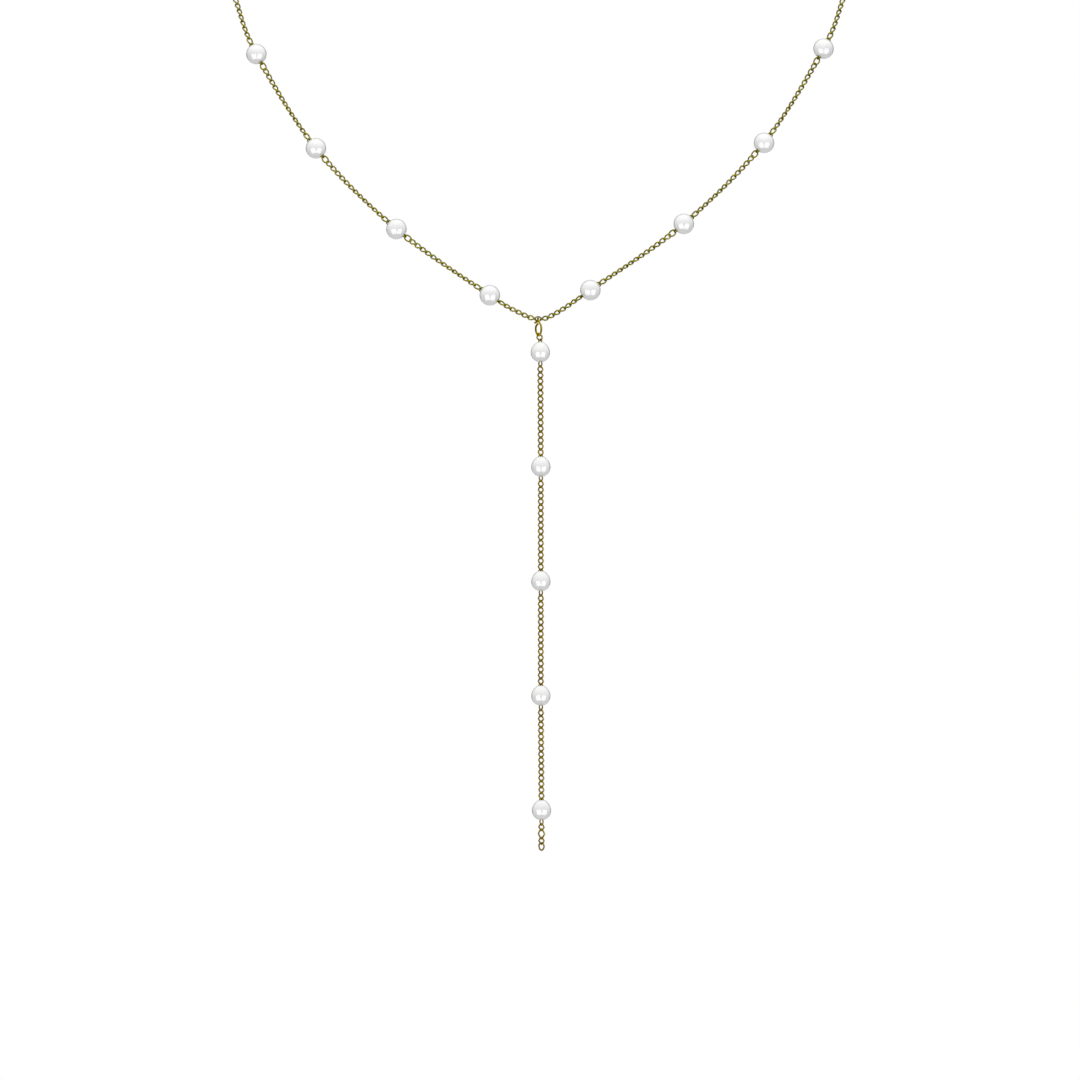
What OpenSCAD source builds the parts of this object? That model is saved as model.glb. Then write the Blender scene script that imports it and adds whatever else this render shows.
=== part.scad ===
// Lariat necklace: a fine chain of twisted oval links with white pearls let in at even steps, worn as a
// loop that is open round the neck, and a plumb drop of five pearls hung on an open ring at the front.
// The origin is the nape rest, on the inner side of the clasp. +Z is up and the front faces -Y.

/* [Chain] */
// Outer width of a link
link_w = 1.32; // [1.28:0.01:1.36]
// Thickness of a link's wire
link_wire = 0.25; // [0.22:0.01:0.27]
// Turn of each end of a link about its length, away from its middle
link_twist = 53; // [52:1:54]
// Length over which one link lies inside the next, between the middles of their wires
link_overlap = 0.47; // [0.45:0.01:0.48]
// Distance from link to link round the neck
neck_pitch = 1.283; // [1.27:0.001:1.29]
// Distance from link to link down the drop
drop_pitch = 1.18; // [1.16:0.01:1.2]

/* [Pearls] */
// Diameter of a pearl round the neck
neck_pearl_d = 4.1; // [3.9:0.1:4.2]
// Diameter of a pearl on the drop
drop_pearl_d = 4.0; // [3.8:0.1:4.1]
// Diameter of the hole drilled through a pearl
pearl_hole_d = 0.6; // [0.5:0.05:0.7]

/* [Pins] */
// Thickness of the straight wire inside a pearl
pin_wire = 0.26; // [0.22:0.01:0.27]
// Thickness of the wire in an eye at a pin's end
eye_wire = 0.28; // [0.28:0.01:0.3]
// Width of an eye between the middles of its wire
eye_w = 0.88; // [0.86:0.01:0.9]

/* [Bail] */
// Thickness of the open ring's wire, which carries the drop
bail_wire = 0.32; // [0.3:0.01:0.34]

/* [Clasp] */
// Outer diameter of the clasp's ring
clasp_d = 5.5; // [5.2:0.1:5.8]
// Thickness of the clasp's ring
clasp_wire = 1.2; // [1:0.1:1.3]
// Thickness of the wire in the clasp's eye and in the ring that it closes on
tag_wire = 0.4; // [0.3:0.05:0.45]

/* [Hidden] */

gold = "#b39b45";
pearl_white = "#f4f2ee";
left = -1;
right = 1;

// The nape rest, seen from the junction of loop and drop. All points below are given from that junction.
nape = [0, 99.4, 90];

// The chain's route from the junction round to the back, as x, y, z. The front follows the hanging curve,
// and the rest takes the plain way round a neck.
left_route = [
    [-4.2, 0, 1.1], [-10.1, 0.8, 4.6], [-28.7, 3.1, 17.8], [-45, 5.8, 34.2], [-56.9, 11, 53.1],
    [-61, 15, 63.8], [-63.6, 20.5, 72], [-65.2, 28.5, 79], [-65.6, 38.5, 84], [-64, 50, 87],
    [-60, 61.5, 88.8], [-53, 73, 89.6], [-43, 83.5, 90], [-31, 91.5, 90], [-18, 97, 90], [-6, 99.6, 90]
];
right_route = [
    [3.1, 0, 0.9], [10.1, 0.8, 5.6], [28.7, 3.1, 18.8], [45, 5.8, 35.3], [56.9, 11, 54.2],
    [60.9, 15, 64.4], [63.6, 20.5, 72.6], [65.2, 28.5, 79.3], [65.6, 38.5, 84.1], [64, 50, 87],
    [60, 61.5, 88.8], [53, 73, 89.6], [43, 83.5, 90], [31, 91.5, 90], [18, 97, 90], [6, 99.6, 90]
];
junction_point = [-0.4, 0, -0.2];
back_point = [0, 100, 90];

// The open ring's wire, as x, y, z, from its free end behind the junction link's lower strand, over that
// strand, down the right side, round the bottom and up the left side to its other end.
bail_route = [
    [-1, 0.7, -0.95], [-0.62, 0.84, -0.74], [-0.43, 0.58, -0.34], [-0.4, 0.14, -0.13],
    [-0.39, -0.3, -0.3], [-0.17, -0.54, -0.8], [0.16, -0.5, -1.4], [0.27, -0.46, -2.1],
    [0.2, -0.42, -2.8], [0, -0.28, -3.3], [-0.24, 0, -3.49], [-0.5, 0.32, -3.32],
    [-0.77, 0.5, -2.75], [-0.84, 0.52, -2.1], [-0.76, 0.54, -1.6], [-0.44, 0.6, -1.2]
];

// Direction square to the plane that the open ring nearly lies in
bail_facing = [0.65, 0.76, 0];

// The drop's sideways place at each height
drop_sway = [[-110, 0.3], [-98.6, 0.3], [-75.5, 0.17], [-29.5, 0.17], [-4.2, 0.05], [-3.2, -0.32]];
// The drop's last links: distance to the next link, and width between the middles of the wire
tail_links = [[1.08, 1.05], [1.66, 1.24], [1.08, 1.05], [1.18, 1.05]];

// Links and pearls: counts along each stretch
middle_links = [6, 7];
gap_links = 14;
drop_gap_links = 15;
end_links = 18;
side_pearls = 9;
front_gaps = 2;
drop_pearls = 5;

// Distance from a pearl's middle to where its pin's eye crosses the next link
neck_reach = 2.55;
drop_reach_up = 2.5;
drop_reach_down = 2.7;
// Heights of the topmost drop pearl's middle, and of the place where the top link crosses the bail
drop_top_z = -6.91;
connector_top_z = -3.21;

// Roll of a link about its length, at places along a gap from the lower pearl (0) to the upper one (1)
gap_roll = [[0, 22], [0.3, 60], [1, 12]];
// The same along the stretches from the junction (0) to the first pearl (1), left and right
middle_roll_left = [[0, 5], [0.3, 10], [0.6, 28], [1, 18]];
middle_roll_right = [[0, 12], [1, 30]];
// The same along the ends from the last pearl (0) to the clasp (1)
end_roll_left = [[0, 12], [1, -38]];
end_roll_right = [[0, 12], [1, 52]];
// Roll of the link at the junction, of the link under the bail and of the drop's other links
junction_roll = 30;
connector_roll = 15;
drop_roll = -8;

// Lengths along the route between which a link's flat side turns from the front to the back
turn_start = 80;
turn_length = 130;

// Facets: stations round a link, sides of its wire, sides of a tube, steps between two route points
link_stations = 10;
link_sides = 5;
tube_sides = 8;
route_steps = 24;
bail_steps = 3;
// Rings along a plain tube that stands for a gap's chain, and for an end's
gap_rings = 5;
end_rings = 7;
// Gap between a plain tube and the eyes at its ends
tube_gap = 0.55;
// Half the distance over which a direction along a route is measured
probe = 0.5;
// Facets of exact round shapes
$fn = 48;

// Share of a link's end turn that the eye it holds follows, so that the eye stays clear of both strands
eye_share = 0.7;
// Cone at each mouth of a pearl's hole: radius, and height above the eye's middle, at its two ends
mouth_in = [0.36, -0.66];
mouth_out = [0.8, -0.11];
// The eye of the clasp: its radius, and how far its middle line lies outside the clasp's
clasp_eye_r = 0.6;
clasp_eye_step = 0.35;
// The ring that the clasp closes on: its radius, and the room between the two wires
tag_r = 1.15;
tag_room = 0.15;

link_half_w = (link_w - link_wire) / 2;
eye_r = eye_w / 2;
eye_twist = eye_share * link_twist;
clasp_r = (clasp_d - clasp_wire) / 2;
// Places along the clasp from its middle: of its eye, of the ring it closes on, and of the chain's two ends
clasp_eye_x = -(clasp_r + clasp_eye_r + clasp_eye_step);
tag_x = clasp_r - clasp_wire / 2 - tag_wire / 2 - tag_room + tag_r;
clasp_left_end = clasp_eye_x - clasp_eye_r + link_overlap / 2;
clasp_right_end = tag_x + tag_r - link_overlap / 2;

// Smooth curve through four neighbouring points, from the second (t = 0) to the third (t = 1)
function curve(a, b, c, d, t) =
    (2 * b + (c - a) * t + (2 * a - 5 * b + 4 * c - d) * t * t + (3 * b - a - 3 * c + d) * t * t * t) / 2;

// Points of the closed loop, from the back round the left side, the junction and the right side
function reversed(list) = [for (i = [len(list) - 1:-1:0]) list[i]];
loop_points = concat([back_point], reversed(left_route), [junction_point], right_route);
loop_count = len(loop_points);
function loop_at(i) = loop_points[(i + loop_count) % loop_count];
fine_loop = [
    for (i = [0:loop_count - 1], k = [0:route_steps - 1])
        curve(loop_at(i - 1), loop_at(i), loop_at(i + 1), loop_at(i + 2), k / route_steps),
    back_point
];

// Length along the loop at each fine point, and from it the length counted from the junction
loop_lengths = [
    for (i = 0, s = 0; i < len(fine_loop);
        s = s + (i + 1 < len(fine_loop) ? norm(fine_loop[i + 1] - fine_loop[i]) : 0), i = i + 1) s
];
junction_length = loop_lengths[(len(left_route) + 1) * route_steps];
left_length = junction_length;
right_length = loop_lengths[len(fine_loop) - 1] - junction_length;
loop_table = [
    for (axis = [0:2])
        [for (i = [0:len(fine_loop) - 1]) [loop_lengths[i] - junction_length, fine_loop[i][axis]]]
];

// Point on the loop, s out from the junction along one side
function neck_point(side, s) = [for (axis = [0:2]) lookup(side * s, loop_table[axis])];

function unit(v) = v / norm(v);

// Frame of a piece on a strand: width axis, depth axis, length axis and place, from the strand's direction
// and the direction that the flat side faces
function frame(place, along, facing) =
    let (t = unit(along), u = unit(cross(-facing, t)))
    [u, cross(t, u), t, place];

// Direction that the flat side faces, s out from the junction: front, then side, then back
function neck_facing(side, s) =
    let (turn = 180 * min(max((s - turn_start) / turn_length, 0), 1))
    [side * sin(turn), -cos(turn), 0];
function neck_frame(side, s) =
    let (along = neck_point(side, s + probe) - neck_point(side, s - probe))
    frame(neck_point(side, s), along, neck_facing(side, s));

// The drop hangs plumb, with its flat side to the front
function drop_point(z) = [lookup(z, drop_sway), 0, z];
function drop_frame(z) = frame(drop_point(z), drop_point(z + probe) - drop_point(z - probe), [0, -1, 0]);

// A point of a frame's own axes in the necklace
function placed(f, p) = f[3] + p.x * f[0] + p.y * f[1] + p.z * f[2];

// Stations along one side
function pearl_s(side, k) =
    neck_reach + ((side == left ? middle_links[0] : middle_links[1]) + 0.5) * neck_pitch
    + k * (gap_links * neck_pitch + 2 * neck_reach);
end_start_left = pearl_s(left, side_pearls - 1) + neck_reach;
end_start_right = pearl_s(right, side_pearls - 1) + neck_reach;
end_pitch_left = (left_length + clasp_left_end - end_start_left) / end_links;
end_pitch_right = (right_length - clasp_right_end - end_start_right) / end_links;

// Rolls mirror from side to side, as the links' twist does
function gap_link_roll(side, i) = -side * lookup((i + 0.5) / gap_links, gap_roll);
function middle_link_roll(side, i) =
    side == left
        ? lookup((i + 0.5) / middle_links[0], middle_roll_left)
        : -lookup((i + 0.5) / middle_links[1], middle_roll_right);
function end_link_roll(side, i) =
    side == left
        ? lookup((i + 0.5) / end_links, end_roll_left)
        : -lookup((i + 0.5) / end_links, end_roll_right);

// A link is listed as its frame, distance to the next link, half width, twist and roll
function neck_link(side, s, roll) = [neck_frame(side, s), neck_pitch, link_half_w, side * link_twist, roll];
middle_part = [
    [neck_frame(right, 0), neck_pitch, link_half_w, 0, junction_roll],
    for (i = [0:middle_links[0] - 1]) neck_link(left, (i + 1) * neck_pitch, middle_link_roll(left, i)),
    for (i = [0:middle_links[1] - 1]) neck_link(right, (i + 1) * neck_pitch, middle_link_roll(right, i))
];
gap_part = [
    for (side = [left, right], gap = [0:front_gaps - 1], i = [0:gap_links - 1])
        neck_link(side, pearl_s(side, gap) + neck_reach + (i + 0.5) * neck_pitch, gap_link_roll(side, i))
];

// Heights down the drop
drop_station = drop_gap_links * drop_pitch + drop_reach_up + drop_reach_down;
function drop_pearl_z(k) = drop_top_z - k * drop_station;
connector_pitch = connector_top_z - drop_top_z - drop_reach_up;
function drop_link(z, pitch, half_w, roll = drop_roll) = [drop_frame(z), pitch, half_w, link_twist, roll];
function tail_z(i) =
    (i == 0 ? drop_pearl_z(drop_pearls - 1) - drop_reach_down : tail_z(i - 1) - tail_links[i - 1][0]);
drop_part = [
    drop_link(connector_top_z - connector_pitch / 2, connector_pitch, link_half_w, connector_roll),
    for (k = [0:drop_pearls - 2], i = [0:drop_gap_links - 1])
        drop_link(drop_pearl_z(k) - drop_reach_down - (i + 0.5) * drop_pitch, drop_pitch, link_half_w),
    for (i = [0:len(tail_links) - 1])
        drop_link(tail_z(i) - tail_links[i][0] / 2, tail_links[i][0], tail_links[i][1] / 2)
];

// Middle of a link's wire at angle a round the link, in the link's own axes
function link_wire_point(link, a) =
    let (turn = link[3] * cos(a) + link[4], r = link[2] * sin(a))
    [r * cos(turn), r * sin(turn), (link[1] + link_overlap) / 2 * cos(a)];
// The wire's section there, square to the wire
function link_section(link, a) =
    let (
        mid = link_wire_point(link, a),
        along = unit(link_wire_point(link, a + 1) - link_wire_point(link, a - 1)),
        turn = link[3] * cos(a) + link[4],
        face = [-sin(turn), cos(turn), 0],
        x = unit(face - (face * along) * along),
        y = cross(along, x)
    )
    [for (k = [0:link_sides - 1])
        let (round = cos(360 * k / link_sides) * x + sin(360 * k / link_sides) * y)
        placed(link[0], mid + link_wire / 2 * round)];
function link_vertices(link) =
    [for (i = [0:link_stations - 1]) each link_section(link, 360 * i / link_stations)];

// Triangles between two neighbouring rings of vertices
function band(first, second, sides) = [
    for (k = [0:sides - 1])
        let (next = (k + 1) % sides)
        each [[first + k, first + next, second + next], [first + k, second + next, second + k]]
];
function loop_faces(start, stations, sides) =
    [for (i = [0:stations - 1]) each band(start + i * sides, start + (i + 1) % stations * sides, sides)];
function tube_faces(start, stations, sides) = [
    for (i = [0:stations - 2]) each band(start + i * sides, start + (i + 1) * sides, sides),
    for (k = [1:sides - 2]) [start, start + k + 1, start + k],
    for (k = [1:sides - 2])
        let (last = start + (stations - 1) * sides)
        [last, last + k, last + k + 1]
];

// All the links of one list, as one set of closed surfaces
module links(list) {
    size = link_stations * link_sides;
    polyhedron(
        points = [for (link = list) each link_vertices(link)],
        faces = [for (i = [0:len(list) - 1]) each loop_faces(i * size, link_stations, link_sides)],
        convexity = 10
    );
}

// Ring of vertices round a strand's frame
function tube_ring(f, r) = [
    for (k = [0:tube_sides - 1])
        placed(f, r * [cos(360 * k / tube_sides), sin(360 * k / tube_sides), 0])
];

// One side's chain past the front stretch: a plain tube for each gap and one for the end
module side_tubes(side, end_length) {
    clear = neck_reach + tube_gap;
    spans = [
        for (gap = [front_gaps:side_pearls - 2])
            [pearl_s(side, gap) + clear, pearl_s(side, gap + 1) - clear, gap_rings],
        [pearl_s(side, side_pearls - 1) + clear, end_length - tube_gap, end_rings]
    ];
    starts = [for (i = 0, n = 0; i < len(spans); n = n + spans[i][2] * tube_sides, i = i + 1) n];
    polyhedron(
        points = [
            for (span = spans, i = [0:span[2] - 1])
                let (s = span[0] + (span[1] - span[0]) * i / (span[2] - 1))
                each tube_ring(neck_frame(side, s), link_w / 2)
        ],
        faces = [for (i = [0:len(spans) - 1]) each tube_faces(starts[i], spans[i][2], tube_sides)],
        convexity = 10
    );
}

// Moves its children onto a frame, with their +Z along the strand
module at_frame(f) {
    multmatrix([
        [f[0].x, f[1].x, f[2].x, f[3].x],
        [f[0].y, f[1].y, f[2].y, f[3].y],
        [f[0].z, f[1].z, f[2].z, f[3].z]
    ]) children();
}

module ring(radius, wire) {
    rotate_extrude() translate([radius, 0]) circle(d = wire);
}

// Height of an eye's middle above the pearl's middle
function eye_z(reach) = reach + link_overlap / 2 - eye_r;

// Pin through one pearl, with an eye at each end turned square to the link that it holds
module pin(reach_down, reach_up, turn_down, turn_up) {
    low = -eye_z(reach_down);
    high = eye_z(reach_up);
    translate([0, 0, low + eye_r]) cylinder(d = pin_wire, h = high - low - 2 * eye_r);
    translate([0, 0, low]) rotate([0, 90, turn_down]) ring(eye_r, eye_wire);
    translate([0, 0, high]) rotate([0, 90, turn_up]) ring(eye_r, eye_wire);
}

// Pearl drilled along its axis, with a cone at each mouth where the eye sits
module pearl(d, reach_down, reach_up) {
    difference() {
        sphere(d = d);
        cylinder(d = pearl_hole_d, h = 2 * d, center = true);
        for (end = [[0, reach_up], [1, reach_down]])
            mirror([0, 0, end[0]]) translate([0, 0, eye_z(end[1]) + mouth_in[1]])
                cylinder(r1 = mouth_in[0], r2 = mouth_out[0], h = mouth_out[1] - mouth_in[1]);
    }
}

// Turn of an eye on the side of a neck pearl towards the junction, and on the far side
function eye_turn_near(side, k) =
    side * eye_twist
    + (k == 0 ? middle_link_roll(side, side == left ? middle_links[0] - 1 : middle_links[1] - 1)
        : gap_link_roll(side, gap_links - 1));
function eye_turn_far(side, k) =
    -side * eye_twist + (k == side_pearls - 1 ? end_link_roll(side, 0) : gap_link_roll(side, 0));

module neck_pins(side) {
    for (k = [0:side_pearls - 1])
        at_frame(neck_frame(side, pearl_s(side, k)))
            pin(neck_reach, neck_reach, eye_turn_near(side, k), eye_turn_far(side, k));
}

module side_pearl(side, k) {
    color(pearl_white) translate(-nape) at_frame(neck_frame(side, pearl_s(side, k)))
        pearl(neck_pearl_d, neck_reach, neck_reach);
}

module drop_pearl(k) {
    color(pearl_white) translate(-nape) at_frame(drop_frame(drop_pearl_z(k)))
        pearl(drop_pearl_d, drop_reach_down, drop_reach_up);
}

module neck_chain_front() {
    color(gold) translate(-nape) links(concat(middle_part, gap_part));
}

module neck_chain_left() {
    color(gold) translate(-nape) side_tubes(left, left_length + clasp_left_end);
}

module neck_chain_right() {
    color(gold) translate(-nape) side_tubes(right, right_length - clasp_right_end);
}

module drop_chain() {
    color(gold) translate(-nape) links(drop_part);
}

module neck_pins_left() {
    color(gold) translate(-nape) neck_pins(left);
}

module neck_pins_right() {
    color(gold) translate(-nape) neck_pins(right);
}

module drop_pins() {
    color(gold) translate(-nape)
        for (k = [0:drop_pearls - 1])
            at_frame(drop_frame(drop_pearl_z(k)))
                pin(drop_reach_down, drop_reach_up, drop_roll + eye_twist,
                    (k == 0 ? connector_roll : drop_roll) - eye_twist);
}

// Open ring with lapped ends, through the link at the junction and the top link of the drop
module bail_ring() {
    count = len(bail_route);
    fine = [
        for (i = [0:count - 2], k = [0:bail_steps - 1])
            curve(bail_route[max(i - 1, 0)], bail_route[i], bail_route[i + 1],
                bail_route[min(i + 2, count - 1)], k / bail_steps),
        bail_route[count - 1]
    ];
    last = len(fine) - 1;
    rings = [
        for (i = [0:last])
            let (along = fine[min(i + 1, last)] - fine[max(i - 1, 0)])
            each tube_ring(frame(fine[i], along, bail_facing), bail_wire / 2)
    ];
    color(gold) translate(-nape) polyhedron(rings, tube_faces(0, last + 1, tube_sides), convexity = 4);
}

// Ring clasp with its own eye, flat against the nape
module clasp() {
    color(gold) translate(back_point - nape) rotate([90, 0, 0]) {
        ring(clasp_r, clasp_wire);
        translate([clasp_eye_x, 0, 0]) ring(clasp_eye_r, tag_wire);
    }
}

// Plain ring at the right end, through the clasp
module clasp_ring() {
    color(gold) translate(back_point - nape + [tag_x, 0, 0]) ring(tag_r, tag_wire);
}

neck_chain_front();
neck_chain_left();
neck_chain_right();
drop_chain();
neck_pins_left();
neck_pins_right();
drop_pins();
bail_ring();
clasp();
clasp_ring();
drop_pearl(0);  // drop_pearl_1
drop_pearl(1);  // drop_pearl_2
drop_pearl(2);  // drop_pearl_3
drop_pearl(3);  // drop_pearl_4
drop_pearl(4);  // drop_pearl_5
side_pearl(left, 0);  // left_pearl_1
side_pearl(left, 1);  // left_pearl_2
side_pearl(left, 2);  // left_pearl_3
side_pearl(left, 3);  // left_pearl_4
side_pearl(left, 4);  // left_pearl_5
side_pearl(left, 5);  // left_pearl_6
side_pearl(left, 6);  // left_pearl_7
side_pearl(left, 7);  // left_pearl_8
side_pearl(left, 8);  // left_pearl_9
side_pearl(right, 0);  // right_pearl_1
side_pearl(right, 1);  // right_pearl_2
side_pearl(right, 2);  // right_pearl_3
side_pearl(right, 3);  // right_pearl_4
side_pearl(right, 4);  // right_pearl_5
side_pearl(right, 5);  // right_pearl_6
side_pearl(right, 6);  // right_pearl_7
side_pearl(right, 7);  // right_pearl_8
side_pearl(right, 8);  // right_pearl_9
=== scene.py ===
"""Lariat necklace of fine gold-coloured curb chain and white pearls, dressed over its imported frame.

Sizes are in millimetres, counted from the junction of loop and drop, with +Z up and the front facing -Y, as
in the part's source. The meshes are made in metres, from the nape rest, which is the frame's origin.
"""
import logging
import math
from collections.abc import Iterator
from dataclasses import dataclass, field, fields
from enum import Enum

import bpy
import numpy as np
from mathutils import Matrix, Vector


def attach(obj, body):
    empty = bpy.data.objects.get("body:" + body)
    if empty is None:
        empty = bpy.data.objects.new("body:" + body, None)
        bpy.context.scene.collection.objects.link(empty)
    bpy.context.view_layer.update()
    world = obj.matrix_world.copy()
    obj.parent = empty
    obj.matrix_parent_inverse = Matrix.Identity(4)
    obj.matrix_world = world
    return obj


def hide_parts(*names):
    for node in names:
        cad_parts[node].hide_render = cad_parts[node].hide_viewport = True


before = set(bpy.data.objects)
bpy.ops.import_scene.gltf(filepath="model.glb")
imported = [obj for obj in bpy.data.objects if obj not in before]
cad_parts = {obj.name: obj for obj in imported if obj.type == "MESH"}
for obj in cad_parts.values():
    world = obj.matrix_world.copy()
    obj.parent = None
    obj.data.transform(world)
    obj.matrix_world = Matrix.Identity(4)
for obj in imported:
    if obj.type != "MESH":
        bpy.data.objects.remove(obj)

log = logging.getLogger("necklace")

Array = np.ndarray
Material = bpy.types.Material
Node = bpy.types.Node
Object = bpy.types.Object
Socket = bpy.types.NodeSocket
Tree = bpy.types.NodeTree

MM = 0.001
# The nape rest, from the junction of loop and drop
NAPE = np.array([0.0, 99.4, 90.0])
BODY = "root"
# Half the angle round a link over which the direction of its wire is measured
PROBE_ANGLE = math.radians(1)


class Side(Enum):
    """A half of the neck loop, with the sign of its x."""

    LEFT = -1
    RIGHT = 1


class Slot(Enum):
    """The material slots."""

    GOLD = "gold"
    PEARL = "pearl"


class Gloss(Enum):
    """Pieces that have lights of their own in their gloss."""

    GOLD = "gold"
    LOOP_GOLD = "gold of the loop"
    PEARLS = "pearls"


# Curves and frames


def unit(vectors: Array) -> Array:
    """Give vectors along the last axis the length 1."""
    return vectors / np.linalg.norm(vectors, axis=-1, keepdims=True)


def smooth_curve(points: Array, steps: int, closed: bool) -> Array:
    """Carry a Catmull-Rom curve through route points.

    Between points b and c, with neighbours a and d, the point at share t is half of
    2b + (c - a)t + (2a - 5b + 4c - d)t^2 + (3b - a - 3c + d)t^3.

    Args:
        points: Route points, one a row.
        steps: Steps from one route point to the next.
        closed: Whether the curve runs from the last point back to the first.

    Returns:
        The curve's points, ending on the last route point, or on the first again if it is closed.
    """
    if closed:
        a, b, c, d = (np.roll(points, -k, axis=0) for k in (-1, 0, 1, 2))
        last = points[:1]
    else:
        padded = np.concatenate([points[:1], points, points[-1:]])
        a, b, c, d = padded[:-3], padded[1:-2], padded[2:-1], padded[3:]
        last = points[-1:]
    t = (np.arange(steps) / steps)[None, :, None]
    a, b, c, d = (p[:, None, :] for p in (a, b, c, d))
    spans = (2 * b + (c - a) * t + (2 * a - 5 * b + 4 * c - d) * t**2 + (3 * b - a - 3 * c + d) * t**3) / 2
    return np.concatenate([spans.reshape(-1, 3), last])


def strand_frames(places: Array, along: Array, facing: Array) -> Array:
    """Set up frames on a strand.

    The length axis t runs along the strand, the width axis is the unit of t x facing, and the depth axis is
    t x width.

    Args:
        places: Points of the strand, one a row.
        along: The strand's direction at each.
        facing: Direction that the strand's flat side faces at each.

    Returns:
        Width axis, depth axis, length axis and place of each frame, as an array of shape (n, 4, 3).
    """
    length = unit(along)
    width = unit(np.cross(-facing, length))
    return np.stack([width, np.cross(length, width), length, places], axis=1)


def placed(frames: Array, points: Array) -> Array:
    """Turn points of each frame's own axes into points of the necklace.

    Args:
        frames: Frames of shape (n, 4, 3).
        points: Points of shape (n, ..., 3).

    Returns:
        Points of the same shape.
    """
    rows = points.reshape(len(frames), -1, 3)
    turned = np.einsum("npa,nax->npx", rows, frames[:, :3]) + frames[:, 3][:, None]
    return turned.reshape(points.shape)


@dataclass
class LoopRoute:
    """The way of the neck loop: a hanging curve in front, and the plain way round a neck behind."""

    left: tuple = (
        (-4.2, 0, 1.1), (-10.1, 0.8, 4.6), (-28.7, 3.1, 17.8), (-45, 5.8, 34.2), (-56.9, 11, 53.1),
        (-61, 15, 63.8), (-63.6, 20.5, 72), (-65.2, 28.5, 79), (-65.6, 38.5, 84), (-64, 50, 87),
        (-60, 61.5, 88.8), (-53, 73, 89.6), (-43, 83.5, 90), (-31, 91.5, 90), (-18, 97, 90), (-6, 99.6, 90),
    )
    right: tuple = (
        (3.1, 0, 0.9), (10.1, 0.8, 5.6), (28.7, 3.1, 18.8), (45, 5.8, 35.3), (56.9, 11, 54.2),
        (60.9, 15, 64.4), (63.6, 20.5, 72.6), (65.2, 28.5, 79.3), (65.6, 38.5, 84.1), (64, 50, 87),
        (60, 61.5, 88.8), (53, 73, 89.6), (43, 83.5, 90), (31, 91.5, 90), (18, 97, 90), (6, 99.6, 90),
    )
    junction: tuple = (-0.4, 0, -0.2)
    back: tuple = (0, 100, 90)
    steps: int = 24
    # Half the distance over which a direction is measured
    probe: float = 0.5
    # Length from the junction at which the flat side starts to turn from the front to the back, and the
    # length over which it turns
    turn_start: float = 80
    turn_length: float = 130
    line: Array = field(init=False)
    lengths: Array = field(init=False)

    def __post_init__(self) -> None:
        """Work out the fine line, and the length from the junction at each of its points."""
        points = np.array([self.back, *reversed(self.left), self.junction, *self.right], dtype=float)
        self.line = smooth_curve(points, self.steps, closed=True)
        gone = np.concatenate([[0], np.cumsum(np.linalg.norm(np.diff(self.line, axis=0), axis=1))])
        self.lengths = gone - gone[(len(self.left) + 1) * self.steps]

    def side_length(self, side: Side) -> float:
        """Length from the junction to the back along one side."""
        return float(-self.lengths[0] if side is Side.LEFT else self.lengths[-1])

    def points(self, side: Side, s: Array) -> Array:
        """Points at lengths s from the junction along one side."""
        return np.stack([np.interp(side.value * s, self.lengths, self.line[:, k]) for k in range(3)], axis=-1)

    def frames(self, side: Side, s: Array) -> Array:
        """Set up frames along one side.

        The facing direction turns about +Z from the front through the side to the back, in step with the
        share of turn_length that lies behind.

        Args:
            side: The half of the loop.
            s: Lengths from the junction.

        Returns:
            Frames of shape (n, 4, 3).
        """
        turn = np.pi * np.clip((s - self.turn_start) / self.turn_length, 0, 1)
        facing = np.stack([side.value * np.sin(turn), -np.cos(turn), 0 * turn], axis=-1)
        along = self.points(side, s + self.probe) - self.points(side, s - self.probe)
        return strand_frames(self.points(side, s), along, facing)


@dataclass
class DropRoute:
    """The drop's line, plumb apart from a slight sway."""

    # Height and sideways place, from the lowest up
    sway: tuple = ((-110, 0.3), (-98.6, 0.3), (-75.5, 0.17), (-29.5, 0.17), (-4.2, 0.05), (-3.2, -0.32))
    probe: float = 0.5

    def points(self, z: Array) -> Array:
        """Points of the drop at heights z."""
        height, side = np.array(self.sway, dtype=float).T
        return np.stack([np.interp(z, height, side), 0 * z, z], axis=-1)

    def frames(self, z: Array) -> Array:
        """Frames at heights z, with the flat side to the front and the length axis up."""
        along = self.points(z + self.probe) - self.points(z - self.probe)
        return strand_frames(self.points(z), along, np.broadcast_to([0.0, -1.0, 0.0], along.shape))


# Meshes


def stand(name: str, data: bpy.types.ID) -> Object:
    """Make an object of its data and put it in the scene."""
    thing = bpy.data.objects.new(name, data)
    bpy.context.scene.collection.objects.link(thing)
    return thing


def ring_quads(rows: int, sides: int, wrap: bool) -> Array:
    """Faces of a grid whose columns close round.

    Args:
        rows: Rings of the grid.
        sides: Vertices of a ring.
        wrap: Whether the last ring joins the first.

    Returns:
        Four vertex numbers a face.
    """
    i, k = np.meshgrid(np.arange(rows if wrap else rows - 1), np.arange(sides), indexing="ij")
    after, across = (i + 1) % rows, (k + 1) % sides
    corners = [i * sides + k, i * sides + across, after * sides + across, after * sides + k]
    return np.stack(corners, axis=-1).reshape(-1, 4)


def repeated(faces: Array, size: int, copies: int) -> Array:
    """Faces of one shape for each of its copies, whose vertices follow each other in blocks of a size."""
    return (faces[None] + size * np.arange(copies)[:, None, None]).reshape(-1, faces.shape[1])


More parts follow.
